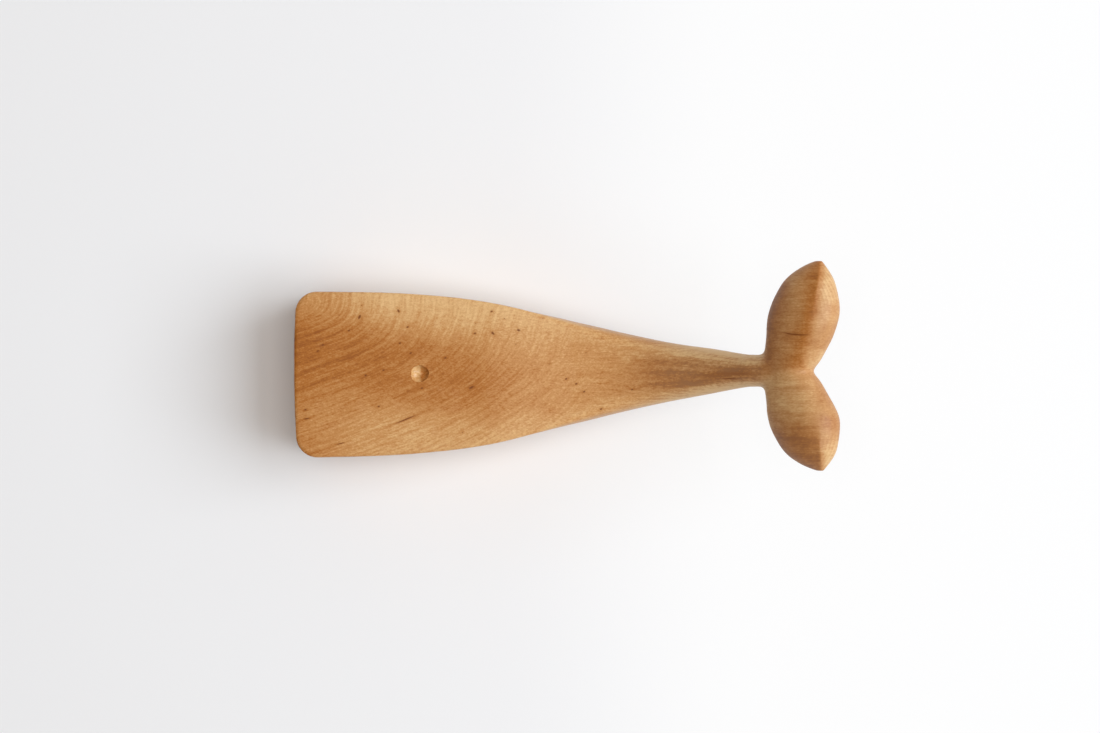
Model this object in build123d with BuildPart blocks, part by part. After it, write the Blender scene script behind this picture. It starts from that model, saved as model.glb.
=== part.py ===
from build123d import *
from math import cos, hypot, radians, sin, tan
import os

# A carved wooden whale: a flat-topped body block that runs into a rising tail stock, a pair of tail flukes carved
# from a second piece of the same wood, and the hidden dowel that joins the two.
# Millimetres and degrees. +X runs from the nose to the flukes, +Y to the whale's right and +Z up. The origin lies
# on the table, under the middle of the whale's length.

# Head and body block, sawn to its plan outline and eased along its edges
overall_length = 150.0
head_width = 46.4
head_height = 30.0
block_length = 54.0
nose_corner_radius = 6.0
nose_bow = 0.7
top_edge_radius = 0.6
belly_edge_radius = 4.5

# Tail stock, carved from the block's end up to the small oval seat of the flukes
tail_climb = 35.0
neck_width = 8.3
neck_thickness = 9.4

# One side of the plan outline: share of the body's length, and share of the taper that is left there
side_distance_shares = (0.0, 0.232, 0.431, 0.631, 0.831, 0.958, 1.0)
side_taper_shares = (1.0, 0.968, 0.824, 0.520, 0.216, 0.050, 0.0)
neck_side_slope = -0.10

# Sections of the tail stock along its length, and how late its spine climbs and its edges round over
tail_station_shares = (0.12, 0.25, 0.38, 0.51, 0.64, 0.76, 0.88, 1.0)
spine_climb_power = 2.2
rounding_power = 1.8
neck_round_share = 0.97

# Blowhole: a ring of gouge scoops in the flat top of the head
blowhole_distance = 35.4
blowhole_scoops = 5
blowhole_scoop_radius = 1.9
blowhole_depth = 1.15
blowhole_ring_radius = 0.75

# Eyes: one gouge nick low on each side of the head
eye_distance = 23.0
eye_height = 10.5
eye_scoop_radius = 1.7
eye_depth = 0.75

# Flukes: two plump lobes that meet at the root, behind a collar that carries on the neck's oval
fluke_span = 56.8
fluke_chord = 19.9
fluke_thickness = 13.2
fluke_tilt = 27.0
fluke_sweep = 8.0
collar_length = 12.4
collar_fillet = 1.4
tip_edge_radius = 0.4

# Sections of one lobe from the root to the tip: shares of the half span, chord, thickness and sweep
# Each is egg-shaped, and fullest at a share of its chord behind the leading edge
lobe_fullest_share = 0.6
lobe_place_shares = (0.0, 0.06, 0.17, 0.34, 0.52, 0.70, 0.84, 0.935, 0.98, 1.0)
lobe_chord_shares = (0.712, 0.750, 0.850, 0.958, 1.0, 0.868, 0.668, 0.392, 0.205, 0.090)
lobe_thickness_shares = (0.76, 0.78, 0.85, 0.97, 1.0, 0.86, 0.65, 0.39, 0.21, 0.105)
lobe_sweep_shares = (0.0, 0.07, 0.19, 0.37, 0.50, 0.60, 0.70, 0.82, 0.92, 1.0)

# Dowel: a plain wooden pin, glued half into the tail stock and half into the flukes
dowel_diameter = 4.0
dowel_length = 16.0
dowel_chamfer = 0.5
glue_gap = 0.05
dowel_end_room = 0.5

# Places that follow from the sizes
climb = radians(tail_climb)
tilt = radians(fluke_tilt)
lobe_stations = list(zip(lobe_place_shares, lobe_chord_shares, lobe_thickness_shares, lobe_sweep_shares))


def rearmost(chord, half_thickness, back):
    """How far behind the fluke root a lobe's section reaches, seen from above."""
    fullest = (lobe_fullest_share - 1 / 2) * chord * cos(tilt)
    return back + fullest + hypot((1 - lobe_fullest_share) * chord * cos(tilt), half_thickness * sin(tilt))


lobe_reach = max(
    rearmost(chord_share * fluke_chord, thickness_share * fluke_thickness / 2, sweep_share * fluke_sweep)
    for _, chord_share, thickness_share, sweep_share in lobe_stations
)
nose_x = -overall_length / 2
block_end_x = nose_x + block_length
seat_x = overall_length / 2 - lobe_reach - collar_length * cos(climb)
body_length = seat_x - nose_x
tail_length = seat_x - block_end_x
tail_rise = tail_length * tan(climb) / spine_climb_power
head_half_width = head_width / 2
neck_half_width = neck_width / 2
block_middle_z = head_height / 2
tail_direction = Vector(cos(climb), 0, sin(climb))
seat = Plane(origin=(seat_x, 0, block_middle_z + tail_rise), x_dir=(0, 1, 0), z_dir=tail_direction)
fluke_root = seat.origin + tail_direction * collar_length
dowel_hole_radius = dowel_diameter / 2 + glue_gap
dowel_hole_depth = dowel_length / 2 + dowel_end_room


# The side of the plan outline, from the nose corner to the neck
with BuildLine() as side:
    side_points = [
        (nose_x + nose_bow + distance_share * (body_length - nose_bow), neck_half_width
         + taper_share * (head_half_width - neck_half_width))
        for distance_share, taper_share in zip(side_distance_shares, side_taper_shares)
    ]
    side_line = Spline(*side_points, tangents=((1, 0), (1, neck_side_slope)))


def half_width_at(x):
    """Half the body's width at a place along its length."""
    across = Axis((x, 0, 0), (0, 1, 0))
    return side_line.find_intersection_points(across)[0].Y


def ease(share):
    """From 0 to 1, level at both ends."""
    return share * share * (3 - 2 * share)


def tail_section(share):
    """A section of the tail stock, square to its spine: the block's shape at first, an oval at the neck."""
    middle_z = block_middle_z + tail_rise * share**spine_climb_power
    slope = tan(climb) * share ** (spine_climb_power - 1)
    middle = (block_end_x + share * tail_length, 0, middle_z)
    width = 2 * half_width_at(middle[0]) if share < 1 else neck_width
    thickness = head_height + (neck_thickness - head_height) * ease(share)
    full_radius = neck_round_share * min(width, thickness) / 2
    rounded_share = ease(share) ** rounding_power
    with BuildSketch(Plane(origin=middle, x_dir=(0, 1, 0), z_dir=(1, 0, slope))) as section:
        Rectangle(width, thickness)
        top_radius = top_edge_radius + (full_radius - top_edge_radius) * rounded_share
        fillet(section.vertices().group_by(Axis.Y)[-1], top_radius)
        belly_radius = belly_edge_radius + (full_radius - belly_edge_radius) * rounded_share
        fillet(section.vertices().group_by(Axis.Y)[0], belly_radius)
    return section.sketch


def lobe_section(side, place_share, chord_share, thickness_share, sweep_share):
    """A section of one lobe: an egg square to the span, swept back within the tilt of the flukes."""
    back = sweep_share * fluke_sweep
    middle = fluke_root + Vector(back, side * place_share * fluke_span / 2, back * tan(tilt))
    chord = chord_share * fluke_chord
    half_thickness = thickness_share * fluke_thickness / 2
    fullest = ((lobe_fullest_share - 1 / 2) * chord, 0)
    with BuildSketch(Plane(origin=middle, x_dir=(cos(tilt), 0, sin(tilt)), z_dir=(0, 1, 0))) as section:
        with BuildLine():
            EllipticalCenterArc(fullest, (1 - lobe_fullest_share) * chord, half_thickness, -90, arc_size=180)
            EllipticalCenterArc(fullest, lobe_fullest_share * chord, half_thickness, 90, arc_size=180)
        make_face()
    return section.sketch


tail_sections = [tail_section(share) for share in tail_station_shares]
right_lobe = [lobe_section(1, *station) for station in lobe_stations]
left_lobe = [lobe_section(-1, *station) for station in lobe_stations[1:]]

# Body: the sawn block, the tail stock that grows from its end, the gouged blowhole and eyes, and the dowel hole
with BuildPart() as body:
    with BuildSketch() as plan:
        with BuildLine():
            add(side_line)
            Line((seat_x, neck_half_width), (seat_x, 0))
            mirror(about=Plane.XZ)
            nose_corner_x = nose_x + nose_bow
            ThreePointArc((nose_corner_x, head_half_width), (nose_x, 0), (nose_corner_x, -head_half_width))
        make_face()
    extrude(amount=head_height)
    split(bisect_by=Plane.YZ.offset(block_end_x), keep=Keep.BOTTOM)
    fillet(body.edges().filter_by(Axis.Z).group_by(Axis.X)[0], nose_corner_radius)
    fillet(body.faces().sort_by(Axis.Z)[-1].edges().sort_by(Axis.X)[:-1], top_edge_radius)
    fillet(body.faces().sort_by(Axis.Z)[0].edges().sort_by(Axis.X)[:-1], belly_edge_radius)
    block_end = body.faces().sort_by(Axis.X)[-1]
    loft([block_end] + tail_sections)
    with Locations((nose_x + blowhole_distance, 0, head_height + blowhole_scoop_radius - blowhole_depth)):
        with PolarLocations(blowhole_ring_radius, blowhole_scoops):
            Sphere(blowhole_scoop_radius, mode=Mode.SUBTRACT)
    eye_x = nose_x + eye_distance
    eye_y = half_width_at(eye_x) + eye_scoop_radius - eye_depth
    with Locations((eye_x, eye_y, eye_height), (eye_x, -eye_y, eye_height)):
        Sphere(eye_scoop_radius, mode=Mode.SUBTRACT)
    with Locations(seat):
        Hole(dowel_hole_radius, dowel_hole_depth)

# Flukes: both lobes from tip to tip, the collar that runs into their root, and the other end of the dowel hole
with BuildPart() as tail_flukes:
    loft(left_lobe[::-1] + right_lobe)
    fillet(tail_flukes.faces().filter_by(Axis.Y).edges(), tip_edge_radius)
    extrude(tail_sections[-1], amount=collar_length, dir=tail_direction)
    fillet(tail_flukes.edges(Select.LAST).filter_by(GeomType.BSPLINE), collar_fillet)
    with Locations(-seat):
        Hole(dowel_hole_radius, dowel_hole_depth)

# Dowel: half on each side of the seat
with BuildPart(seat) as tail_dowel:
    Cylinder(dowel_diameter / 2, dowel_length)
    chamfer(tail_dowel.edges().filter_by(GeomType.CIRCLE), dowel_chamfer)

os.makedirs("parts", exist_ok=True)
for name, piece in (("body", body), ("tail_flukes", tail_flukes), ("tail_dowel", tail_dowel)):
    piece.part.label = name
    export_step(piece.part, f"parts/{name}.step")
    box = piece.part.bounding_box()
    print(f"{name}: {len(piece.solids())} solid, {piece.part.volume:.0f} mm3, valid {piece.part.is_valid}")
    print(f"  x {box.min.X:.2f} to {box.max.X:.2f}, y {box.min.Y:.2f} to {box.max.Y:.2f}, "
          f"z {box.min.Z:.2f} to {box.max.Z:.2f}")
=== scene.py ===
# %% [markdown]
# # A carved wooden whale
# The object is a small whale, carved by hand from a pale close-grained wood and rubbed with oil. It has a
# flat-topped head with a gouged blowhole, a body that tapers into a rising tail stock, and a pair of plump
# flukes that are pinned to the tail with a hidden dowel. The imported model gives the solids. This lesson gives
# them their looks: a skin that was carved and sanded by hand, crisp gouge cuts, and solid wood that runs right
# through every piece.

# %% Load the solids
import math

import bmesh
import bpy
from mathutils import Matrix, Vector


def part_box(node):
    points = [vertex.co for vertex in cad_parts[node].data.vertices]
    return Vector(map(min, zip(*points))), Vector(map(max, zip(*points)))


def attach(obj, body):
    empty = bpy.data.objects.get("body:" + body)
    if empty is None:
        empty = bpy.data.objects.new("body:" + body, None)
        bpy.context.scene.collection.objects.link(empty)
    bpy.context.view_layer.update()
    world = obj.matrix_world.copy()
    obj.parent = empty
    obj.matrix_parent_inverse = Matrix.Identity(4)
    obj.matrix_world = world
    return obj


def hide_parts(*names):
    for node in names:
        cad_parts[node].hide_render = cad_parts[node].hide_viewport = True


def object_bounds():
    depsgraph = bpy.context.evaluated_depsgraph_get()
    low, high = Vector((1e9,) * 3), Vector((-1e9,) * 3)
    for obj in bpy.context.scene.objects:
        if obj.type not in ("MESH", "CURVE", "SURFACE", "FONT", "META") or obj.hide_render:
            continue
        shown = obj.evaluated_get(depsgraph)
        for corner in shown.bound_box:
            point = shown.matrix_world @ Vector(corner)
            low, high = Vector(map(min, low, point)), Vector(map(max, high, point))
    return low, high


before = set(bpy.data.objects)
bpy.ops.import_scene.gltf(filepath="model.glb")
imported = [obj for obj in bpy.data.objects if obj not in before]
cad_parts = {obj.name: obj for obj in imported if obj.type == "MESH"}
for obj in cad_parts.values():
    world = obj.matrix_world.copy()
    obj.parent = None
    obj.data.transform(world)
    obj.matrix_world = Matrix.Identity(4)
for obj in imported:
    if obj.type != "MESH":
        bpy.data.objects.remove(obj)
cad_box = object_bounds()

MM = 0.001
nose_x = cad_box[0].x
print("solids", sorted(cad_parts), "length", round((cad_box[1].x - nose_x) / MM, 1), "mm")

# %% [markdown]
# ## Camera
# The whale is seen from straight above, nose to the left. A camera that isn't turned already looks down -Z with
# +X to its right, so only its place, its lens and a small roll are needed. The focal length is written in pixels
# of the 1100 pixel wide frame, because it was read from how much larger the high tail looks than the low belly.

# %% Camera over the table
frame_width_pixels = 1100
focal_pixels = 2220
sensor_width = 36.0
camera_place = Vector((-3.4, 1.8, 650.0)) * MM
camera_roll = math.radians(-0.4)

camera_data = bpy.data.cameras.new("camera_above")
camera_data.sensor_width = sensor_width
camera_data.lens = focal_pixels * sensor_width / frame_width_pixels
camera = bpy.data.objects.new("camera_above", camera_data)
camera.location = camera_place
camera.rotation_euler = (0, 0, camera_roll)
bpy.context.scene.collection.objects.link(camera)
bpy.context.scene.camera = camera
print("lens", round(camera_data.lens, 1), "mm")

# %% [markdown]
# ## Node graphs as sums
# Shaders and geometry trees are both graphs of nodes. Wiring them by hand is long to read, so an output socket
# is wrapped in a small class that adds a Math node whenever Python does a sum with it. Every other node comes
# from one method, which sets the node's own settings first and its sockets after that. Much in wood comes in
# bit by bit. Such a share is a smooth step, and a pair of values says where it starts and where it is full.


# %% A socket that can be used in sums
class Wire:
    """An output socket. A sum with a number or another wire adds a Math node to its graph."""

    def __init__(self, graph, socket):
        self.graph = graph
        self.socket = socket

    def out(self, name):
        """Another output of the node that this wire comes from."""
        return Wire(self.graph, self.socket.node.outputs[name])

    def math(self, operation, *values):
        return self.graph.math(operation, self, *values)

    def __add__(self, other):
        return self.graph.math("ADD", self, other)

    def __sub__(self, other):
        return self.graph.math("SUBTRACT", self, other)

    def __rsub__(self, other):
        return self.graph.math("SUBTRACT", other, self)

    def __mul__(self, other):
        return self.graph.math("MULTIPLY", self, other)

    def __truediv__(self, other):
        return self.graph.math("DIVIDE", self, other)

    def __rtruediv__(self, other):
        return self.graph.math("DIVIDE", other, self)

    def __pow__(self, other):
        return self.graph.math("POWER", self, other)

    def __abs__(self):
        return self.graph.math("ABSOLUTE", self)

    __radd__ = __add__
    __rmul__ = __mul__


print("sums of sockets ready")


# %% A graph that makes its nodes
class Graph:
    """A node tree of a material, of a geometry modifier or of the world."""

    def __init__(self, tree):
        self.tree = tree

    def node(self, kind, settings=None, inputs=None, output=0):
        """Adds a node: its settings first, then the values or wires of its inputs. Gives back one output."""
        made = self.tree.nodes.new(kind)
        for name, value in (settings or {}).items():
            if name == "stops":
                self.set_stops(made.color_ramp, value)
            else:
                setattr(made, name, value)
        for name, value in (inputs or {}).items():
            for part in value if isinstance(value, list) else [value]:
                if isinstance(part, Wire):
                    self.tree.links.new(part.socket, made.inputs[name])
                else:
                    made.inputs[name].default_value = part
        if made.outputs:
            return Wire(self, made.outputs[output])

    def set_stops(self, ramp, stops):
        """Writes a colour ramp's stops as pairs of a place and a colour."""
        while len(ramp.elements) < len(stops):
            ramp.elements.new(1)
        for element, (place, colour) in zip(ramp.elements, stops):
            element.position = place
            element.color = (*colour, 1)

    def math(self, operation, *values):
        return self.node("ShaderNodeMath", {"operation": operation}, dict(enumerate(values)))

    def vector(self, x, y, z):
        return self.node("ShaderNodeCombineXYZ", {}, {"X": x, "Y": y, "Z": z})

    def split(self, vector):
        """The three numbers of a vector."""
        x = self.node("ShaderNodeSeparateXYZ", {}, {"Vector": vector})
        return x, x.out("Y"), x.out("Z")

    def scaled(self, vector, factor):
        inputs = {"Vector": vector, "Scale": factor}
        return self.node("ShaderNodeVectorMath", {"operation": "SCALE"}, inputs)

    def added(self, first, second):
        return self.node("ShaderNodeVectorMath", {"operation": "ADD"}, {0: first, 1: second})

    def length(self, vector):
        return self.node("ShaderNodeVectorMath", {"operation": "LENGTH"}, {0: vector}, "Value")

    def step(self, value, start, full):
        """From 0 to 1, smoothly, as a value goes from its start to where it is full."""
        inputs = {"Value": value, "From Min": start, "From Max": full}
        return self.node("ShaderNodeMapRange", {"interpolation_type": "SMOOTHSTEP"}, inputs)

    def blend(self, share, first, second):
        """One number that turns into another as the share goes from 0 to 1."""
        return first + (second - first) * share

    def patches(self, place, sizes):
        """A place counted in patches whose length, width and height are given."""
        return self.vector(*(along / size for along, size in zip(place, sizes)))

    def noise(self, place, patch, detail=2.0, seed=0.0):
        """Noise about zero, in patches whose length, width and height are given."""
        inputs = {"Vector": self.patches(place, patch), "W": seed, "Scale": 1.0, "Detail": detail}
        return self.node("ShaderNodeTexNoise", {"noise_dimensions": "4D"}, inputs) - 0.5

    def mixed(self, share, first, second):
        """A colour that turns into another as the share goes from 0 to 1."""
        share_socket, first_socket, second_socket, colour_output = 0, 6, 7, 2
        inputs = {share_socket: share, first_socket: first, second_socket: second}
        return self.node("ShaderNodeMix", {"data_type": "RGBA"}, inputs, colour_output)


print("graphs ready")

# %% [markdown]
# ## Geometry trees with named inputs
# The carver's three moves, sanding, gouging and sawing, are geometry trees. Each has named inputs for its sizes.
# A modifier keeps those under the sockets' identifiers, so a small helper looks them up and sets them before the
# piece is first evaluated.


# %% Helpers for geometry trees
def new_tree(name, sizes):
    """A geometry tree with named inputs. Gives back its graph and the wires of its inputs."""
    tree = bpy.data.node_groups.new(name, "GeometryNodeTree")
    for label, kind in {"Geometry": "Geometry", **sizes, "Material": "Material"}.items():
        tree.interface.new_socket(label, in_out="INPUT", socket_type="NodeSocket" + kind)
    tree.interface.new_socket("Geometry", in_out="OUTPUT", socket_type="NodeSocketGeometry")
    graph = Graph(tree)
    first = graph.node("NodeGroupInput")
    return graph, {label: first.out(label) for label in ("Geometry", *sizes, "Material")}


def close_tree(graph, geometry, material):
    """Ends a tree: real faces, smooth but for sharp edges, in one material."""
    crease_angle = math.radians(32)
    geometry = graph.node("GeometryNodeRealizeInstances", {}, {"Geometry": geometry})
    angle = graph.node("GeometryNodeInputMeshEdgeAngle")
    sharp = {"A": angle, "B": crease_angle}
    sharp = graph.node("FunctionNodeCompare", {"operation": "GREATER_THAN"}, sharp)
    inputs = {"Geometry": geometry, "Shade Smooth": True}
    geometry = graph.node("GeometryNodeSetShadeSmooth", {"domain": "FACE"}, inputs)
    inputs = {"Geometry": geometry, "Selection": sharp, "Shade Smooth": False}
    geometry = graph.node("GeometryNodeSetShadeSmooth", {"domain": "EDGE"}, inputs)
    geometry = graph.node("GeometryNodeSetMaterial", {}, {"Geometry": geometry, "Material": material})
    graph.node("NodeGroupOutput", {}, {"Geometry": geometry})


def add_tree(piece, graph, values):
    """Puts a tree on a piece, with its inputs set."""
    modifier = piece.modifiers.new(graph.tree.name, "NODES")
    modifier.node_group = graph.tree
    for socket in graph.tree.interface.items_tree:
        if socket.in_out == "INPUT" and socket.name in values:
            modifier[socket.identifier] = values[socket.name]


def plain_mesh(piece):
    """Turns a piece with modifiers into a plain mesh without them."""
    evaluated = piece.evaluated_get(bpy.context.evaluated_depsgraph_get())
    mesh = bpy.data.meshes.new_from_object(evaluated)
    old_mesh = piece.data
    piece.modifiers.clear()
    piece.data = mesh
    bpy.data.meshes.remove(old_mesh)
    mesh.name = piece.name


print("tree helpers ready")

# %% [markdown]
# ## One skin over both pieces
# A carver glues and pins the flukes to the tail first and carves afterwards, so the surface runs on across the
# joint. The mesh is made in the same order. The two solids are put in one mesh and wrapped by a voxel remesh,
# which makes small even faces all over. A few rounds of smoothing take away its steps. The blowhole is plugged
# for now, because a remesh would blur its edges, and it is cut again later.

# %% Wrap the solids in one even skin
head_height = 30.0 * MM
blowhole_place = Vector((nose_x + 35.1 * MM, 0, head_height))
eye_x = nose_x + 23 * MM
eye_height = 10.5 * MM
plug_radius = 3.2 * MM
plug_depth = 4.0 * MM
plug_sides = 48
merge_distance = 0.002 * MM
smoothing_rounds = 3
body_voxel = 0.43 * MM
fluke_voxel = 0.27 * MM


def loose_pieces():
    """The body and the flukes in one mesh, each of them merged, and the blowhole plugged."""
    shells = bmesh.new()
    for node in ("body", "tail_flukes"):
        shell = bmesh.new()
        shell.from_mesh(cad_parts[node].data)
        bmesh.ops.remove_doubles(shell, verts=shell.verts, dist=merge_distance)
        mesh = bpy.data.meshes.new(node)
        shell.to_mesh(mesh)
        shell.free()
        shells.from_mesh(mesh)
        bpy.data.meshes.remove(mesh)
    plug_middle = Matrix.Translation(blowhole_place - Vector((0, 0, plug_depth / 2)))
    bmesh.ops.create_cone(shells, cap_ends=True, segments=plug_sides, radius1=plug_radius,
                          radius2=plug_radius, depth=plug_depth, matrix=plug_middle)
    return shells


def even_skin(name, voxel):
    """One closed skin over both pieces, with even faces."""
    mesh = bpy.data.meshes.new(name)
    shells = loose_pieces()
    shells.to_mesh(mesh)
    shells.free()
    piece = bpy.data.objects.new(name, mesh)
    bpy.context.scene.collection.objects.link(piece)
    wrap = piece.modifiers.new("even_faces", "REMESH")
    wrap.mode = "VOXEL"
    wrap.voxel_size = voxel
    smoothing = piece.modifiers.new("smoothing", "SMOOTH")
    smoothing.iterations = smoothing_rounds
    return piece


whale_body = even_skin("whale_body", body_voxel)
whale_flukes = even_skin("whale_flukes", fluke_voxel)
print("skins for", whale_body.name, "and", whale_flukes.name)

# %% [markdown]
# ## Where the joint is
# The dowel's own solid says where the flukes are pinned on: the joint is half way along it and square to it. The
# way past the joint, along the climbing tail, is needed by the sanding and by the wood, so it is one function.

# %% Joint of the flukes
dowel_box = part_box("tail_dowel")
joint_place = (dowel_box[0] + dowel_box[1]) / 2
tail_climb = math.radians(35)


def past_joint(x, z, unit):
    """How far a place lies past the joint along the tail, in the unit of the place."""
    return ((x - joint_place.x / unit) * math.cos(tail_climb)
            + (z - joint_place.z / unit) * math.sin(tail_climb))


print("joint at", [round(along / MM, 1) for along in joint_place])

# %% [markdown]
# ## Sanding by hand
# A hand-sanded surface is never quite true: the body sways by a few hundredths of a millimetre and the flukes by
# about a tenth, one fluke comes out a little longer than the other, and where two sanded faces of a fluke meet
# they leave an arris, a soft ridge that is crispest at the tip. All of this follows the surface by a rule, so
# one tree moves the points of the skin: noise along the normal, a lean of the flukes to one side, a fuller side
# of the neck, and a crest along a wandering line from the notch to each tip. The crest rises as the square of
# the nearness to its line, so it meets the lobe without a kink and is sharp on top. Sandpaper rolled round a
# finger widens the hollow where the collar meets the flukes, and blurring the points' places there does the
# same. The belly was rubbed on a flat board. It stays true, so that the whale stands firm.

# %% Tree of the hand-sanded surface
fluke_start = (54 * MM, 58 * MM)
belly_edge = (1 * MM, 5 * MM)

sanding, given = new_tree("hand_sanding", {
    "Unevenness": "Float", "Patch Size": "Float", "Seed": "Float", "Fluke Unevenness": "Float",
    "Fluke Lean": "Float", "Neck Fullness": "Float", "Collar Softness": "Int",
    "Crest Height": "Float", "Crest Width": "Float", "Crest Wander": "Float", "Crest Root": "Float",
    "Crest Root Difference": "Float", "Crest Sweep": "Float", "Crest Sweep Difference": "Float",
})
position = sanding.node("GeometryNodeInputPosition")
normal = sanding.node("GeometryNodeInputNormal")
x, y, z = sanding.split(position)
aside = abs(y)
on_flukes = sanding.step(x, *fluke_start)
above_belly = sanding.step(z, *belly_edge)
patch = (given["Patch Size"],) * 3
sway = sanding.noise((x, y, z), patch, detail=1.0, seed=given["Seed"])
sway = sway * above_belly * sanding.blend(on_flukes, given["Unevenness"], given["Fluke Unevenness"])
print("sanding takes", ", ".join(given))

# %% Crest of the flukes
upward_normal = (0.1, 0.5)
lobe_change = (-4 * MM, 4 * MM)
crest_tip = (13 * MM, 25 * MM)
crest_notch_end = (3 * MM, 8 * MM)
notch_share = 0.5
wander_seed = 8.0

facing_up = sanding.step(sanding.split(normal)[2], *upward_normal)
side = sanding.step(y, *lobe_change) - 0.5
ridge_x = given["Crest Root"] - given["Crest Root Difference"] * side
ridge_x = ridge_x + (given["Crest Sweep"] + given["Crest Sweep Difference"] * side) * aside
ridge_x = ridge_x + given["Crest Wander"] * sanding.noise((x, y, z), patch, seed=wander_seed)
nearness = (1 - abs(x - ridge_x) / given["Crest Width"]).math("MAXIMUM", 0)
near_tip = sanding.step(aside, *crest_tip)
near_notch = (1 - sanding.step(aside, *crest_notch_end)) * (side + 0.5) * notch_share
crest = given["Crest Height"] * nearness * nearness * (near_tip + near_notch) * on_flukes * facing_up
print("sway and crest in", len(sanding.tree.nodes), "nodes")

# %% Lean, neck and collar
lean_start = (5 * MM, 14 * MM)
neck_start = (30 * MM, 46 * MM)
neck_end = (56 * MM, 60 * MM)
fuller_side = (0, 3 * MM)
collar_start = (1.5 * MM, 4 * MM)
collar_end = (12 * MM, 16 * MM)
collar_side = (7 * MM, 11 * MM)

lean = given["Fluke Lean"] * aside * sanding.step(aside, *lean_start) * on_flukes
on_neck = sanding.step(x, *neck_start) * (1 - sanding.step(x, *neck_end))
fuller = given["Neck Fullness"] * sanding.step(y, *fuller_side) * on_neck
way = past_joint(x, z, 1)
on_collar = sanding.step(way, *collar_start) * (1 - sanding.step(way, *collar_end))
on_collar = on_collar * (1 - sanding.step(aside, *collar_side))
softened = {"Value": position, "Iterations": given["Collar Softness"], "Weight": on_collar}
softened = sanding.node("GeometryNodeBlurAttribute", {"data_type": "FLOAT_VECTOR"}, softened)
offset = sanding.added(sanding.scaled(normal, sway), sanding.vector(0, lean + fuller, crest))
sanded = {"Geometry": given["Geometry"], "Position": softened, "Offset": offset}
sanded = sanding.node("GeometryNodeSetPosition", {}, sanded)
close_tree(sanding, sanded, given["Material"])
print("tree", sanding.tree.name, len(sanding.tree.nodes), "nodes")

# %% [markdown]
# ## Gouging the blowhole and the eyes
# The blowhole is a ring of short scoops with a small round gouge. Each scoop leaves a hollow like the inside of
# a ball, and the ridges between them stay sharp. A tree puts balls on the points of a small circle, shakes them
# a little, because no two cuts are alike, and takes them out of the head with a Mesh Boolean. The eyes are
# nicked with the same tree, which also gives back the crisp edge that the even skin took from them.

# %% Tree of the gouge scoops
round_sides = 64
without = {"operation": "DIFFERENCE", "solver": "MANIFOLD"}

gouging, given = new_tree("gouge_scoops", {
    "Place": "Vector", "Scoops": "Int", "Ring Radius": "Float", "Scoop Radius": "Float",
    "Unevenness": "Float", "Seed": "Int",
})
circle = {"Vertices": given["Scoops"], "Radius": given["Ring Radius"]}
circle = gouging.node("GeometryNodeMeshCircle", {}, circle)
shake = {0: (-1, -1, -1), 1: (1, 1, 1), "Seed": given["Seed"]}
shake = gouging.node("FunctionNodeRandomValue", {"data_type": "FLOAT_VECTOR"}, shake)
shake = gouging.scaled(shake, given["Unevenness"])
circle = gouging.node("GeometryNodeSetPosition", {}, {"Geometry": circle, "Offset": shake})
ball = {"Segments": round_sides, "Rings": round_sides // 2, "Radius": given["Scoop Radius"]}
ball = gouging.node("GeometryNodeMeshUVSphere", {}, ball)
balls = gouging.node("GeometryNodeInstanceOnPoints", {}, {"Points": circle, "Instance": ball})
balls = gouging.node("GeometryNodeTransform", {}, {"Geometry": balls, "Translation": given["Place"]})
cut = {"Mesh 1": given["Geometry"], "Mesh 2": balls}
cut = gouging.node("GeometryNodeMeshBoolean", without, cut)
close_tree(gouging, cut, given["Material"])
print("tree", gouging.tree.name, len(gouging.tree.nodes), "nodes")

# %% [markdown]
# ## Sawing at the joint
# The finished skin is now cut into its two pieces, flat across the joint, and each gets its half of the dowel
# hole. Cutting one skin keeps the joint flush, with no groove round it.

# %% Tree of the saw cut
joint_turn = math.radians(90) - tail_climb
saw_reach = 400 * MM

sawing, given = new_tree("saw_cut", {
    "Joint Place": "Vector", "Joint Turn": "Vector", "Cut Away": "Float", "Reach": "Float",
    "Hole Radius": "Float", "Hole Length": "Float",
})
reach = given["Reach"]
block = sawing.node("GeometryNodeMeshCube", {}, {"Size": sawing.vector(reach, reach, reach)})
past_cut = sawing.vector(0, 0, reach * given["Cut Away"] / 2)
block = sawing.node("GeometryNodeTransform", {}, {"Geometry": block, "Translation": past_cut})
hole = {"Vertices": round_sides, "Radius": given["Hole Radius"], "Depth": given["Hole Length"]}
hole = sawing.node("GeometryNodeMeshCylinder", {}, hole)
placed = {"Translation": given["Joint Place"], "Rotation": given["Joint Turn"]}
cutters = [sawing.node("GeometryNodeTransform", {}, {"Geometry": tool, **placed}) for tool in (block, hole)]
cut = {"Mesh 1": given["Geometry"], "Mesh 2": cutters}
cut = sawing.node("GeometryNodeMeshBoolean", without, cut)
close_tree(sawing, cut, given["Material"])
print("tree", sawing.tree.name, len(sawing.tree.nodes), "nodes")

# %% [markdown]
# ## Wood as a solid
# Wood isn't a picture wrapped round a shape. It fills the block, and a cut shows whatever lies there. So the
# grain is worked out from the place in the piece, in millimetres, and not from a map of its surface. Everything
# that darkens the wood, such as late growth, heartwood and fibres, is added up in one number, its tone. In some
# places the tone also holds painted shade and painted highlight. A ramp turns the tone into a colour, so that
# darker wood is redder too, as it is in a real board.

# %% Helpers for wood
pale_to_dark = (
    (0.00, (0.735, 0.47, 0.215)),
    (0.40, (0.55, 0.267, 0.086)),
    (0.75, (0.405, 0.138, 0.018)),
    (1.00, (0.29, 0.084, 0.008)),
)
fleck_colour = (0.18, 0.044, 0.002, 1)
# The colour that greyness mixes towards: grey wood along the tail, a painted sheen on the flukes
grey_wood_and_sheen_colour = (0.42, 0.285, 0.16, 1)
oiled_roughness = 0.5
fibre_roughness = 0.15
fibre_depth = 0.1 * MM
fibre_bump = 0.1
pore_contrast = 0.6


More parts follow.
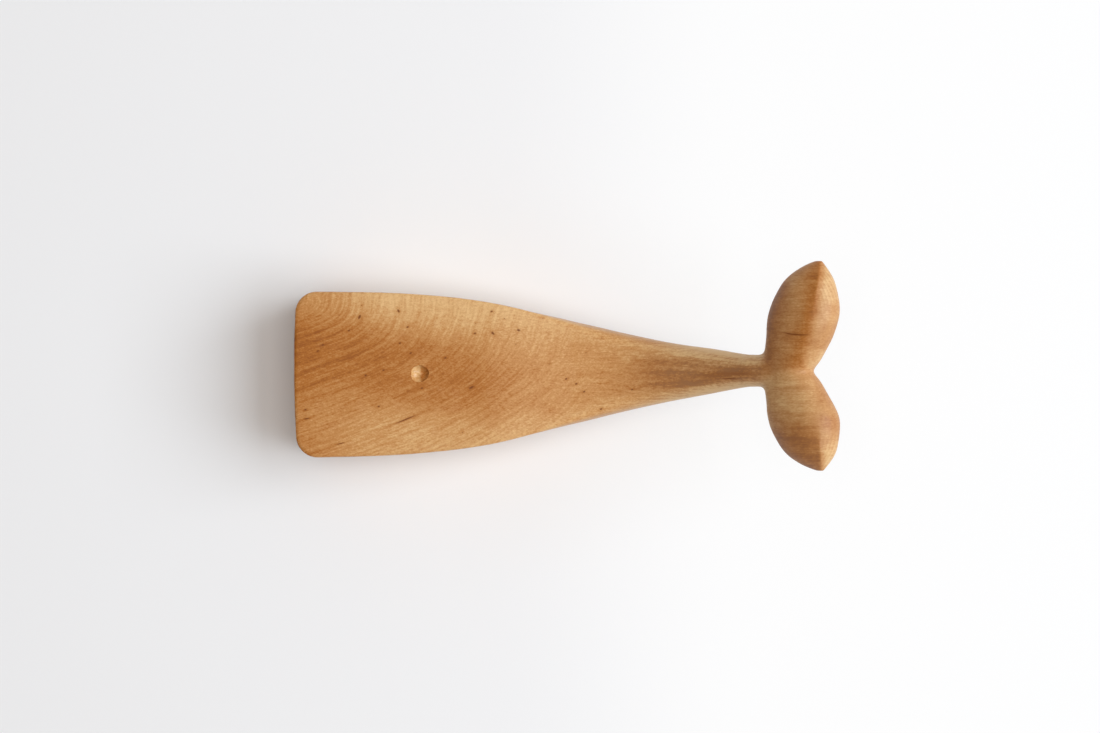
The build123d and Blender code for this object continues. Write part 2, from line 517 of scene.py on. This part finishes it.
def new_wood(name):
    """An empty material. Gives it back with its graph and the place in the wood in millimetres."""
    material = bpy.data.materials.new(name)
    material.use_nodes = True
    material.node_tree.nodes.clear()
    graph = Graph(material.node_tree)
    place = graph.node("ShaderNodeTexCoord", output="Object")
    return material, graph, graph.split(graph.scaled(place, 1 / MM))


def pores(graph, place, patch, seed):
    """The tone of fine pores and of the wood between them, in patches of the given sizes."""
    coarse = graph.noise(place, patch, detail=4.0, seed=seed)
    fine = graph.noise(place, [size / 2 for size in patch], detail=1.0, seed=seed + 1)
    return coarse * pore_contrast + fine * pore_contrast


def finish_wood(graph, tone, greyness, flecks, fibres, burnish=0.0):
    """Oiled wood from its tone, greyness, dark flecks and fibres, and from where a tool burnished it. The
    greyness is grey wood on the tail and a painted sheen on the flukes.
    """
    colour = graph.node("ShaderNodeValToRGB", {"stops": pale_to_dark}, {"Fac": tone})
    colour = graph.mixed(greyness, colour, grey_wood_and_sheen_colour)
    colour = graph.mixed(flecks, colour, fleck_colour)
    bump = {"Height": fibres, "Strength": fibre_bump, "Distance": fibre_depth}
    bump = graph.node("ShaderNodeBump", {}, bump)
    roughness = oiled_roughness + fibres * fibre_roughness - burnish
    inputs = {"Base Color": colour, "Roughness": roughness, "Normal": bump}
    shader = graph.node("ShaderNodeBsdfPrincipled", {}, inputs)
    graph.node("ShaderNodeOutputMaterial", {}, {"Surface": shader})


print("tones from", pale_to_dark[0][1], "to", pale_to_dark[-1][1])

# %% [markdown]
# ## Lengthwise grain
# Along the tail the fibres run from nose to flukes. They show as fine lines and as longer grey-brown streaks,
# which draw together as the tail narrows. A dark core runs along the neck, a little to one side of its middle.
# The rims are paler, partly pale wood and partly painted sheen and bounce light on the rounded sides. The
# flukes start with the same grain at their collar, so that the joint doesn't show, and one function serves both.
# A place across the tail is a share of its half width, so that the figure narrows with the wood.

# %% Sizes of the tail's figure, in millimetres
tail_half_width = 14.6
tail_narrowing = 0.21
neck_half_width = 4.1
drawn_width = 9
tail_fibre_patch = (10, 0.55, 0.55)
tail_streak_patch = (22, 2.0, 12)
tail_line_patch = (26, 1.5, 12)
neck_approach = (5, 42)
neck_reach = (18, 44)
core_reach = (34, 43)
collar_reach = (49, 55)
tail_paler_side = (3, -3)
neck_paler_side = (2, -2)
print("half width", tail_half_width, "mm at the origin and", neck_half_width, "mm at the neck")

# %% Shares of the tail's half width, and tones
dark_line = -0.12
middle_fade = (0.1, 0.75)
core_fade = (0, 0.45)
rim_start = (0.35, 0.95)
tail_plain_tone = 0.48
streak_tones = (0.7, 1.5)
fibre_tones = (0.9, 1.5)
line_tone = 1.2
core_tone = 0.25
middle_tone = 0.36
middle_shares = (0.4, 1)
# Paleness of the rims on the side of +Y and of -Y, partly painted sheen and bounce light
tail_rim_tones = (0.08, 0.2)
neck_rim_tones = (0.55, 0.63)
streaky_start = (-0.1, 0.35)
tail_greyness = 0.3
streak_greyness = 0.12
core_warmth = 0.12


def tail_grain_and_rim_sheen(graph, place):
    """Tone, greyness and fibres of wood whose fibres run along the tail; its pale rims are partly painted sheen.
    """
    x, y, z = place
    half_width = (tail_half_width - x * tail_narrowing).math("MAXIMUM", neck_half_width)
    from_middle = y / half_width
    drawn_together = (x, from_middle * drawn_width, z)
    fibres = graph.noise(place, tail_fibre_patch, detail=5.0, seed=5.0)
    streaks = graph.noise(drawn_together, tail_streak_patch, detail=3.0, seed=6.0)
    lines = graph.noise(drawn_together, tail_line_patch, detail=2.0, seed=7.0)

    towards_neck = graph.step(x, *neck_approach)
    on_neck = graph.step(x, *neck_reach)
    before_collar = 1 - graph.step(x, *collar_reach)
    from_dark = abs(from_middle - dark_line)
    middle = (1 - graph.step(from_dark, *middle_fade)) * towards_neck
    middle = middle * graph.blend(before_collar, *middle_shares)
    core = (1 - graph.step(from_dark, *core_fade)) * graph.step(x, *core_reach) * before_collar
    rim = graph.step(abs(from_middle), *rim_start)
    tail_rim_paleness = graph.blend(graph.step(y, *tail_paler_side), *tail_rim_tones)
    neck_rim_paleness = graph.blend(graph.step(y, *neck_paler_side), *neck_rim_tones)

    tone = tail_plain_tone + streaks * graph.blend(on_neck, *streak_tones)
    tone = tone + fibres * graph.blend(on_neck, *fibre_tones)
    tone = tone + lines * towards_neck * line_tone + core * core_tone
    tone = tone + middle * middle_tone
    # Paler rims: partly pale wood, partly painted sheen and bounce light on the rounded sides
    tone = tone - rim * graph.blend(on_neck, tail_rim_paleness, neck_rim_paleness)
    streaky = graph.step(streaks + fibres, *streaky_start)
    greyness = towards_neck * (tail_greyness + middle * streaky * streak_greyness - core * core_warmth)
    return tone, greyness, fibres


print("tail grain about a tone of", tail_plain_tone)

# %% [markdown]
# ## Flecks
# The small dark flecks are where an insect once tunnelled in the growing wood and the tree closed the wound.
# Each is an oval, longer along the grain, with reddish wood around it. A fleck gives its distance, 0 in its
# middle and 1 at its rim, and the least of all these distances is enough to draw them all. A faint fleck's
# distance starts above 0.

# %% Distance to the nearest fleck
fleck_rim = (0.5, 1.05)
reddish_rim = (0.8, 2.6)
far_off = 9


def fleck_distance(graph, place, middle, size, turn, faintness):
    """0 in the middle of an oval fleck and 1 at its rim, or more where it is faint."""
    inputs = {"Vector": place, "Location": (*middle, 0), "Rotation": (0, 0, math.radians(turn)),
              "Scale": (size[0] / 2, size[1] / 2, 1)}
    near = graph.node("ShaderNodeMapping", {"vector_type": "TEXTURE"}, inputs)
    return graph.length(near) + faintness


def fleck_marks(graph, distance):
    """The dark of the flecks and the reddish wood around them."""
    return 1 - graph.step(distance, *fleck_rim), 1 - graph.step(distance, *reddish_rim)


print("reddish wood to", reddish_rim[1], "times the size of a fleck")

# %% [markdown]
# ## Wood of the body
# The block was sawn near the heart of a small tree. On the top of the head the growth rings come in from the
# nose, nearly straight, and then turn up towards one side, like nested corners with round bends. A ring's size
# is taken from the place by the rule for a rounded corner, the sum of two distances to a high power, and a ramp
# along that size holds the dark late growth of each ring: slow to darken and quick to end. The heart is a redder
# band along the head. The sapwood along both edges is pale, and the rings fade in it on the side of the pith.
# Flecks and reddish patches lie where they were seen on the top, and by chance on the sides. The blowhole shows
# freshly cut wood, smoother where the gouge left it and paler on the side that faces the window, which is partly
# fresh wood and partly a painted highlight. The eye hollows are darkened with painted shade.

# %% Sizes of the growth rings, in millimetres
head_top = head_height / MM
pith = (-75.0, 20.6)
ring_slope = math.radians(18.5)
ring_stretch = 0.66
ring_corner_power = 4.5
ring_lean_ahead = 1.2
ring_lean_aside = 0.4
ring_sway = 4
ring_sway_patch = (24, 15, 15)
ring_wander = 1.2
ring_wander_patch = (9, 6, 6)
ring_reach = 40.0
ring_darkening = 1.6
ring_ending = 0.35
dark_ring_sizes = (4.6, 6.6, 8.7, 10.6, 12.9, 15.4, 17.6, 20.3, 24.1, 28.0)
ring_darkness = (0.5, 0.7, 0.8, 0.9, 1.0, 0.5, 0.6, 0.9, 0.7, 0.4)
ring_mean_strength = 0.75
ring_strength_patch = (12, 8, 8)
nose_end = (-66, -46)
nose_ring_shares = (0.45, 1)
rings_end = (-40, -8)
sapwood_start = (10, 18)
sapwood_ring_shares = (1, 0.4)


def ring_stops():
    """The stops of a ramp along the ring size, dark at the late growth of each ring."""
    pale = (0, 0, 0)
    stops = [(0, pale)]
    for size, darkness in zip(dark_ring_sizes, ring_darkness):
        stops.append(((size - ring_darkening) / ring_reach, pale))
        stops.append((size / ring_reach, (darkness,) * 3))
        stops.append(((size + ring_ending) / ring_reach, pale))
    return stops


print(len(dark_ring_sizes), "dark rings in", len(ring_stops()), "stops")


# %% Growth rings of the head
def growth_rings(graph, place):
    """The size of the ring at a place, and how dark its late growth is there."""
    x, y, z = place
    depth = z - head_top
    sway = graph.noise(place, ring_sway_patch, seed=1.0) * ring_sway
    ahead = x - pith[0] + depth * ring_lean_ahead + sway
    aside = pith[1] - y + depth * ring_lean_aside
    across = abs(ahead * math.sin(ring_slope) + aside * math.cos(ring_slope))
    along = abs(ahead) * ring_stretch
    rings = (across ** ring_corner_power + along ** ring_corner_power) ** (1 / ring_corner_power)

    wander = graph.noise(place, ring_wander_patch, seed=2.0) * ring_wander
    late_wood = {"Fac": (rings + wander) / ring_reach}
    late_wood = graph.node("ShaderNodeValToRGB", {"stops": ring_stops()}, late_wood)
    patchy = graph.noise(place, ring_strength_patch, seed=3.0) + ring_mean_strength
    near_nose = 1 - graph.step(x, *nose_end)
    in_sapwood = graph.step(y, *sapwood_start)
    late_wood = late_wood * patchy * graph.blend(near_nose, *nose_ring_shares)
    late_wood = late_wood * (1 - graph.step(x, *rings_end))
    return rings, late_wood * graph.blend(in_sapwood, *sapwood_ring_shares)


print("rings around", pith)

# %% Heart of the head
head_fibre_patch = (0.55, 9, 9)
head_fibre_tone = 0.8
ring_tone = 0.28
heart_start = (-73, 6.0)
heart_slope = 0.14
heart_fade = (2.3, 20)
heart_first_tone = 0.36
heart_rise = (-70, -48)
heart_gain = 0.21
heart_end = (-32, 4)
heart_loss = 0.35
head_plain_tone = 0.43
pale_start = (-78, -44)
pale_end = (-30, -10)
pale_loss = 0.22
head_paleness = 0.32
lower_side_start = (2, -18)
lower_side_end = (-32, -10)
lower_side_tone = 0.19


def head_grain(graph, place):
    """Tone and fibres of the head."""
    x, y, _ = place
    rings, late_wood = growth_rings(graph, place)
    fibres = graph.noise((rings, x, y), head_fibre_patch, detail=5.0, seed=4.0)
    heart_middle = heart_start[1] - (x - heart_start[0]) * heart_slope
    heart = 1 - graph.step(abs(y - heart_middle), *heart_fade)
    heart_tone = heart_first_tone + graph.step(x, *heart_rise) * heart_gain
    heart_tone = heart_tone - graph.step(x, *heart_end) * heart_loss
    paler = graph.step(x, *pale_start) * (1 - graph.step(x, *pale_end) * pale_loss)
    lower_side = graph.step(y, *lower_side_start) * (1 - graph.step(x, *lower_side_end))
    tone = head_plain_tone - paler * head_paleness + lower_side * lower_side_tone + heart * heart_tone
    return tone + late_wood * ring_tone + fibres * head_fibre_tone, fibres


print("heart from", heart_start)

# %% Places of the flecks, in millimetres
# A fleck is its middle, its length and width, its turn in degrees and its faintness
plain_fleck = ((1.05, 0.65), 20, 0.1)
plain_middles = (
    (-59.5, 12.2), (-68.2, 6.6), (-66.8, 8.3), (-43.1, 13.1), (-45.3, 8.6), (-42.3, 5.8), (-32.6, 4.4),
    (-49.9, 1.1), (-54.9, -0.3), (-39.2, -4.0), (-51.3, -9.0), (-71.8, -9.8), (-24.3, 11.2), (-19.6, 17.3),
    (1.1, -1.7), (3.9, -3.1), (6.1, -5.3), (19.5, -4.8), (10.8, -10.2),
)
faint_fleck = ((0.9, 0.7), 20, 0.5)
faint_middles = (
    (-62.2, 16.5), (-55.9, 19.2), (-59.5, 0.5), (-28.0, -16.5), (-24.1, 14.0), (-16.0, 15.3), (-12.9, 8.1),
    (-5.3, 15.3), (11.1, 9.7), (6.7, 5.6), (-3.6, 2.5),
)
large_faintness = 0.15
large_flecks = (
    ((-56.5, 16.0), (2.0, 1.0), 65), ((-45.6, 17.6), (1.5, 0.9), 120), ((-12.1, 12.0), (1.4, 1.0), -15),
    ((-19.3, 11.2), (1.6, 1.0), -45), ((-25.4, -3.9), (2.2, 0.8), 30), ((-71.5, -12.3), (2.6, 0.6), 8),
    ((-43.8, -12.7), (9.0, 0.6), 22), ((-62.0, -19.3), (3.6, 0.45), 14), ((46.0, -1.9), (5.4, 0.35), 0),
)
patch_faintness = 1.2
red_patches = (
    ((-45.2, 4.8), (7.0, 2.2), 12), ((-29.0, -1.5), (9.0, 4.0), 20), ((-60.0, -10.5), (11.0, 5.0), 15),
    ((-2.8, -10.9), (13.0, 3.6), -25),
)
top_flecks = [(middle, *plain_fleck) for middle in plain_middles]
top_flecks += [(middle, *faint_fleck) for middle in faint_middles]
top_flecks += [(*fleck, large_faintness) for fleck in large_flecks]
top_flecks += [(*fleck, patch_faintness) for fleck in red_patches]
print(len(top_flecks), "flecks and patches on the top")

# %% Flecks of the top and the sides, and painted shade in the eyes
top_start = (20, 24)
side_fleck_spacing = (7.0, 5.0, 5.0)
side_fleck_fineness = 9
# Each eye hollow is darkened like a faint fleck, with a reddish ring: painted shade in a recess
painted_eye_shade = ((eye_x / MM, eye_height / MM), (3.0, 3.0), 0, 0.65)


def body_flecks(graph, place):
    """The distance to the nearest fleck of the body, or to the painted shade of an eye hollow."""
    x, y, z = place
    seen_from_above = graph.vector(x, y, 0)
    seen_from_the_side = graph.vector(x, z, 0)
    on_top = graph.step(z, *top_start)
    steps = graph.patches(place, side_fleck_spacing)
    side_flecks = graph.node("ShaderNodeTexVoronoi", {}, {"Vector": steps, "Scale": 1.0}, "Distance")
    nearest = side_flecks * side_fleck_fineness + on_top * far_off
    nearest = nearest.math("MINIMUM", fleck_distance(graph, seen_from_the_side, *painted_eye_shade))
    for fleck in top_flecks:
        distance = fleck_distance(graph, seen_from_above, *fleck) + (1 - on_top) * far_off
        nearest = distance.math("MINIMUM", nearest)
    return nearest


print("eyes darkened at", painted_eye_shade[0])

# %% Fresh cut of the blowhole, with a painted highlight on its side towards the window
blowhole_x, blowhole_y, _ = (along / MM for along in blowhole_place)
cut_floor = (head_top - 3, head_top - 2.5)
cut_rim = (head_top - 0.25, head_top - 0.1)
cut_radius = (2.7, 3.0)
cut_shaded_side = (-0.2, 0.8)


def fresh_cut_lit_side(graph, place):
    """1 in the hollow of the blowhole, on its side towards the window, and 0 elsewhere; its paleness there is
    partly a painted highlight.
    """
    x, y, z = place
    distance = graph.length(graph.vector(x - blowhole_x, y - blowhole_y, 0))
    fresh = graph.step(z, *cut_floor) * (1 - graph.step(z, *cut_rim))
    fresh = fresh * (1 - graph.step(distance, *cut_radius))
    # Only the side towards the window is kept, so the paleness is partly a painted highlight
    return fresh * (1 - graph.step(x - blowhole_x, *cut_shaded_side))


print("fresh cut within", cut_radius[1], "mm of the blowhole's middle")

# %% Body wood
tail_start = (-20, 30)
body_pore_patch = (1.1, 0.55, 0.55)
reddish_tone = 0.12
fleck_cover = 0.92
fresh_cut_and_highlight_paleness = 0.5
fresh_burnish = 0.26


def body_wood():
    """Rings in the head, lengthwise grain in the tail, flecks, and the fresh cut of the blowhole."""
    material, graph, place = new_wood("body_wood")
    in_tail = graph.step(place[0], *tail_start)
    head_tone, head_fibres = head_grain(graph, place)
    tail_tone, greyness, tail_fibres = tail_grain_and_rim_sheen(graph, place)
    fibres = graph.blend(in_tail, head_fibres, tail_fibres)
    fresh = fresh_cut_lit_side(graph, place)
    flecks, reddish = fleck_marks(graph, body_flecks(graph, place))
    pore_tone = pores(graph, place, body_pore_patch, 31.0)
    tone = graph.blend(in_tail, head_tone, tail_tone) + pore_tone + reddish * reddish_tone
    # Paler in the cut on the side towards the window: partly fresh wood, partly a painted highlight
    tone = tone - fresh * fresh_cut_and_highlight_paleness
    finish_wood(graph, tone, greyness * in_tail, flecks * fleck_cover, fibres, fresh * fresh_burnish)
    return material


body_finish = body_wood()
print(body_finish.name, len(body_finish.node_tree.nodes), "nodes")

# %% [markdown]
# ## Wood of the flukes
# The flukes are cut from a second piece of the same tree, with its layers standing nearly upright across the
# whale. The layers show as fine lines at the tips of the steep rear faces, where they bend with the outline, and
# hardly at all elsewhere. In front the wood shows fine rays and soft clouds. Behind the ridge, where the faces
# turn to the window, it is paler, most of all at the tips: partly paler wood, partly a painted highlight. In
# front of the ridge it is darker, partly as painted shade, and a grey painted sheen lies over the flukes. The
# longer lobe is redder just before its ridge, and one dark crack curves across it. Pairs of values that differ
# from lobe to lobe give the shorter lobe first.

# %% Sizes of the flukes' figure, in millimetres
crest_root = 65.5
crest_root_difference = 3.4
crest_sweep = 0.15
crest_sweep_difference = 0.14
lobe_sides = (-3, 3)
root_end = (2, 8)
tip_start = (9, 20)
tip_end = (14, 24)
behind_start = (-1, 2.5)
before_start = (-6, -1)
leading_edge_start = (6, 12)


def lobe_ridge(aside, side):
    """How far back the ridge of a lobe lies: side is 1 on the longer lobe and -1 on the shorter."""
    root = crest_root - side * crest_root_difference / 2
    sweep = crest_sweep + side * crest_sweep_difference / 2
    return aside * sweep + root


print("ridge", crest_root, "mm behind the origin at the root")

# %% Layers of the flukes, in millimetres
layer_spacing = 1.15
layer_lean = -0.2
layer_bend = 0.03
layer_bend_start = 15
layer_sway = 2
layer_sway_patch = (14, 14, 14)
layer_end = (0.75, 1.0)
layer_mean_strength = 0.5
layer_strength_patch = (14, 14, 4)
layer_tones = (0.08, 0.6)


def fluke_layers(graph, place, shown):
    """The tone of the layers' late growth, which is strong where shown is 1."""
    x, y, z = place
    bent = (abs(y) - layer_bend_start).math("MAXIMUM", 0)
    layers = x + bent * bent * layer_bend + z * layer_lean
    layers = layers + graph.noise(place, layer_sway_patch, seed=11.0) * layer_sway
    late_wood = (layers / layer_spacing).math("FRACT")
    late_wood = late_wood * (1 - graph.step(late_wood, *layer_end))
    strength = graph.noise(place, layer_strength_patch, seed=12.0) + layer_mean_strength
    return late_wood * strength * graph.blend(shown, *layer_tones)


print("a layer every", layer_spacing, "mm")

# %% Tone of the flukes
ray_patch = (11, 0.5, 4)
band_patch = (14, 1.4, 7)
cloud_patch = (6, 4, 6)
ray_tone = 0.6
band_tone = 0.5
cloud_tone = 0.9
behind_fading = 0.65
fluke_plain_tone = 0.5
# Paleness behind the ridge is partly painted highlight, and darkness in front of it partly painted shade
behind_paleness = (-0.1, 0.06)
root_paleness = (0.02, 0.32)
tip_paleness = 0.5
redder_tone = 0.14
short_tip_tone = 0.5
short_paleness = 0.18
long_edge_tone = 0.5
long_tone = 0.1
long_tip_paleness = 0.08
# Greyness of the flukes: a painted sheen of the white room, less where the wood is redder
fluke_painted_sheen = 0.2
redder_warmth = 0.15


def fluke_grain_and_painted_light(graph, place):
    """Tone, greyness and rays of the flukes. The tone is partly painted highlight behind the ridge and partly
    painted shade before it; the greyness is a painted sheen.
    """
    x, y, _ = place
    near_root = 1 - graph.step(abs(y), *root_end)
    near_tip = graph.step(abs(y), *tip_start)
    at_tip = graph.step(abs(y), *tip_end)
    longer_lobe = graph.step(y, *lobe_sides)
    ridge = graph.blend(longer_lobe, lobe_ridge(abs(y), -1), lobe_ridge(abs(y), 1))
    behind_ridge = graph.step(x - ridge, *behind_start)
    before_ridge = graph.step(x - ridge, *before_start) * (1 - behind_ridge)

    late_wood = fluke_layers(graph, place, at_tip * behind_ridge)
    rays = graph.noise(place, ray_patch, detail=5.0, seed=13.0)
    bands = graph.noise(place, band_patch, detail=3.0, seed=14.0)
    clouds = graph.noise(place, cloud_patch, detail=4.0, seed=15.0)
    mid_paleness = graph.blend(longer_lobe, *behind_paleness)
    mid_paleness = mid_paleness + near_root * graph.blend(longer_lobe, *root_paleness)
    # Paler behind the ridge, on faces turned to the window: partly paler wood, partly a painted highlight
    paler = behind_ridge * graph.blend(at_tip, mid_paleness, tip_paleness)
    redder = before_ridge * longer_lobe
    # Darker in front of the ridge and at the leading edge, on faces turned from the window: partly painted shade
    leading_edge = graph.step(ridge - x, *leading_edge_start)
    short_darker = near_tip * short_tip_tone - short_paleness
    long_darker = leading_edge * long_edge_tone + long_tone - at_tip * long_tip_paleness
    darker = graph.blend(longer_lobe, short_darker, long_darker)

    tone = fluke_plain_tone - paler + redder * redder_tone + darker * (1 - behind_ridge)
    tone = tone + late_wood + clouds * cloud_tone
    tone = tone + (rays * ray_tone + bands * band_tone) * (1 - behind_ridge * behind_fading)
    return tone, fluke_painted_sheen - redder * redder_warmth, rays


print("fluke grain about a tone of", fluke_plain_tone)

# %% Fluke wood
collar_grain_end = (4.5, 9)
fluke_pore_patch = (1.4, 0.55, 1.6)
fluke_pore_tone = 0.9
crack_middle = (62.9, 9.9)
crack_size = (8.0, 0.5)
crack_turn = -6
crack_bow = 0.03
crack_floor = (44, 47)
crack_cover = 0.9
crack_reddish_tone = 0.1


def fluke_wood():
    """The tail's grain at the collar, the flukes' own grain and painted light past it, and the crack."""
    material, graph, place = new_wood("fluke_wood")
    x, y, z = place
    tone, greyness, rays = fluke_grain_and_painted_light(graph, place)
    past_collar = graph.step(past_joint(x, z, MM), *collar_grain_end)
    collar_tone, collar_greyness, collar_fibres = tail_grain_and_rim_sheen(graph, place)
    tone = graph.blend(past_collar, collar_tone, tone)
    tone = tone + pores(graph, place, fluke_pore_patch, 41.0) * fluke_pore_tone
    greyness = graph.blend(past_collar, collar_greyness, greyness)
    fibres = graph.blend(past_collar, collar_fibres, rays)

    from_crack = x - crack_middle[0]
    crack_place = graph.vector(x, y - from_crack * from_crack * crack_bow, 0)
    below = 1 - graph.step(z, *crack_floor)
    crack = fleck_distance(graph, crack_place, crack_middle, crack_size, crack_turn, 0) + below * far_off
    dark, reddish = fleck_marks(graph, crack)
    finish_wood(graph, tone + reddish * crack_reddish_tone, greyness, dark * crack_cover, fibres)
    return material


fluke_finish = fluke_wood()
print(fluke_finish.name, len(fluke_finish.node_tree.nodes), "nodes")

# %% [markdown]
# ## Dowel
# The pin is a bought birch dowel, left plain. It stays hidden in the joint, but it is part of the object, so its
# solid gets a straight-grained wood of its own.

# %% Dowel wood
dowel_fibre_patch = (6, 0.35, 0.35)
dowel_plain_tone = 0.08
dowel_fibre_tone = 0.3


def dowel_wood():
    """Pale wood whose fibres run along the dowel."""
    material, graph, (x, y, z) = new_wood("dowel_wood")
    lengthwise = x * math.cos(tail_climb) + z * math.sin(tail_climb)
    upright = z * math.cos(tail_climb) - x * math.sin(tail_climb)
    fibres = graph.noise((lengthwise, y, upright), dowel_fibre_patch, detail=3.0, seed=21.0)
    finish_wood(graph, dowel_plain_tone + fibres * dowel_fibre_tone, 0, 0, fibres)
    return material


dowel_finish = dowel_wood()
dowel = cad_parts["tail_dowel"]
dowel.data.materials.clear()
dowel.data.materials.append(dowel_finish)
print("dowel in", dowel.data.materials[0].name)

# %% [markdown]
# ## Carve the two pieces
# Both skins are sanded with the same seed, so they agree at the joint. The body is gouged as well. Then each is
# sawn and turned into a plain mesh.

# %% Sizes of the sanding, the gouges and the saw cut
sanding_sizes = {
    "Unevenness": 0.16 * MM, "Patch Size": 8 * MM, "Seed": 3.0, "Fluke Unevenness": 0.5 * MM,
    "Fluke Lean": 0.052, "Neck Fullness": 0.5 * MM, "Collar Softness": 60,
    "Crest Height": 0.45 * MM, "Crest Width": 2.9 * MM, "Crest Wander": 2.5 * MM,
    "Crest Root": crest_root * MM, "Crest Root Difference": crest_root_difference * MM,
    "Crest Sweep": crest_sweep, "Crest Sweep Difference": crest_sweep_difference,
}
blowhole_lift = 0.85
blowhole_sizes = {
    "Place": blowhole_place + Vector((0, 0, blowhole_lift)) * MM, "Scoops": 5, "Ring Radius": 0.66 * MM,
    "Scoop Radius": 2.1 * MM, "Unevenness": 0.16 * MM, "Seed": 4,
}
eye_sizes = {
    "Scoops": 3, "Ring Radius": 0.25 * MM, "Scoop Radius": 1.75 * MM, "Unevenness": 0.08 * MM, "Seed": 6,
}
eye_search = 3 * MM
eye_lift = 0.9 * MM
body_corners = [corner.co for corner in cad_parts["body"].data.vertices]
eye_y = max(corner.y for corner in body_corners if abs(corner.x - eye_x) < eye_search) + eye_lift
saw_sizes = {
    "Joint Place": joint_place, "Joint Turn": (0, joint_turn, 0), "Reach": saw_reach,
    "Hole Radius": 2.05 * MM, "Hole Length": 17 * MM,
}
print("eye scoops", round(eye_y / MM, 1), "mm from the middle")

# %% Sand, gouge and saw
add_tree(whale_body, sanding, {**sanding_sizes, "Material": body_finish})
add_tree(whale_body, gouging, {**blowhole_sizes, "Material": body_finish})
for eye_place in (Vector((eye_x, eye_y, eye_height)), Vector((eye_x, -eye_y, eye_height))):
    add_tree(whale_body, gouging, {**eye_sizes, "Place": eye_place, "Material": body_finish})
add_tree(whale_body, sawing, {**saw_sizes, "Cut Away": 1.0, "Material": body_finish})
add_tree(whale_flukes, sanding, {**sanding_sizes, "Material": fluke_finish})
add_tree(whale_flukes, sawing, {**saw_sizes, "Cut Away": -1.0, "Material": fluke_finish})
for piece in (whale_body, whale_flukes):
    plain_mesh(piece)
    piece.data.calc_loop_triangles()
    finishes = [finish.name for finish in piece.data.materials]
    print(piece.name, len(piece.data.loop_triangles), "triangles", finishes)

# %% [markdown]
# ## Table and window light
# The whale lies on a white table in soft window light from the right. A broad lamp stands for the window, a weak
# one overhead for the ceiling, and a room with bright walls fills the shaded sides. The window is large, so the
# shadow beside the head fades out slowly. Daylight is a little cooler than the light that a room throws back,
# and together they leave the table white. Nearer the window the table is over-exposed, so there it is mixed with
# plain white where the camera, or a mirror image in the oil, sees it. That leaves the shadow faint and puts no
# more light on the whale. The ceiling lamp isn't mirrored in the oil, because in a real room the camera would
# stand in its way.

# %% Table
floor_half = 2.0
corners = [(-floor_half, -floor_half, 0), (floor_half, -floor_half, 0), (floor_half, floor_half, 0),
           (-floor_half, floor_half, 0)]
floor_mesh = bpy.data.meshes.new("table")
floor_mesh.from_pydata(corners, [], [(0, 1, 2, 3)])
floor = bpy.data.objects.new("table", floor_mesh)
bpy.context.scene.collection.objects.link(floor)
print("table", 2 * floor_half, "m wide")

# %% Paint of the table
table_colour = (0.875, 0.882, 0.9, 1)
white_start = (-20 * MM, 60 * MM)
white_end = (150 * MM, 450 * MM)
white_share = 0.8

table_material = bpy.data.materials.new("white_table")
table_material.use_nodes = True
table_material.node_tree.nodes.clear()
table = Graph(table_material.node_tree)
paint = {"Base Color": table_colour, "Roughness": 0.9, "Specular IOR Level": 0.0}
paint = table.node("ShaderNodeBsdfPrincipled", {}, paint)
white = table.node("ShaderNodeEmission", {}, {"Color": (1, 1, 1, 1), "Strength": 1.0})
seen = table.node("ShaderNodeLightPath", output="Is Camera Ray")
seen = seen.math("MAXIMUM", seen.out("Is Glossy Ray")).math("MAXIMUM", seen.out("Is Transmission Ray"))
x, y, _ = table.split(table.node("ShaderNodeTexCoord", output="Object"))
away = table.step((x * x + y * y).math("SQRT"), *white_end)
whiteness = seen * table.step(x, *white_start) * (1 - away) * white_share
surface = table.node("ShaderNodeMixShader", {}, {"Fac": whiteness, 1: paint, 2: white})
table.node("ShaderNodeOutputMaterial", {}, {"Surface": surface})
floor_mesh.materials.append(table_material)
print("table in", floor_mesh.materials[0].name)

# %% Lamps
window_place = (1.0, 0.02, 1.12)
window_size = (1.1, 1.15)
window_power = 17.9
ceiling_place = (0, 0, 1.3)
ceiling_size = (0.8, 0.5)
ceiling_power = 5.1
cool_light = (0.94, 1.0, 1.06)
warm_light = (1.07, 1.0, 0.93)


def soft_lamp(name, place, size, power, colour):
    """A broad lamp that looks at the whale."""
    lamp_data = bpy.data.lights.new(name, "AREA")
    lamp_data.shape = "RECTANGLE"
    lamp_data.size, lamp_data.size_y = size
    lamp_data.energy = power
    lamp_data.color = colour
    lamp = bpy.data.objects.new(name, lamp_data)
    lamp.location = place
    lamp.rotation_euler = lamp.location.to_track_quat("Z", "Y").to_euler()
    bpy.context.scene.collection.objects.link(lamp)
    return lamp


soft_lamp("window", window_place, window_size, window_power, cool_light)
ceiling = soft_lamp("ceiling", ceiling_place, ceiling_size, ceiling_power, warm_light)
ceiling.visible_glossy = False
print("window", window_power, "W, ceiling", ceiling_power, "W")

# %% Room
room_above = 0.15
room_walls = 0.95
wall_falloff = 2
lit_wall = (-0.6, 0.3)

world = bpy.data.worlds.new("pale_room")
world.use_nodes = True
world.node_tree.nodes.clear()
room = Graph(world.node_tree)
towards_window, _, height = room.split(room.node("ShaderNodeTexCoord", output="Generated"))
wall_light = (1 - height.math("MAXIMUM", 0)) ** wall_falloff * room.step(towards_window, *lit_wall)
light = {"Color": (*warm_light, 1), "Strength": room_above + wall_light * room_walls}
light = room.node("ShaderNodeBackground", {}, light)
room.node("ShaderNodeOutputWorld", {}, {"Surface": light})
bpy.context.scene.world = world
bpy.context.scene.view_settings.view_transform = "Standard"
print("room light from", room_above, "above to", room_above + room_walls, "at the walls")

# %% [markdown]
# ## Put the pieces on the body
# Each visual piece rides on the part's one body and stands for its solid, which is hidden.

# %% Ride and replace
for piece, node, slot in ((whale_body, "body", "body_wood"), (whale_flukes, "tail_flukes", "fluke_wood")):
    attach(piece, "root")
    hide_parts(node)
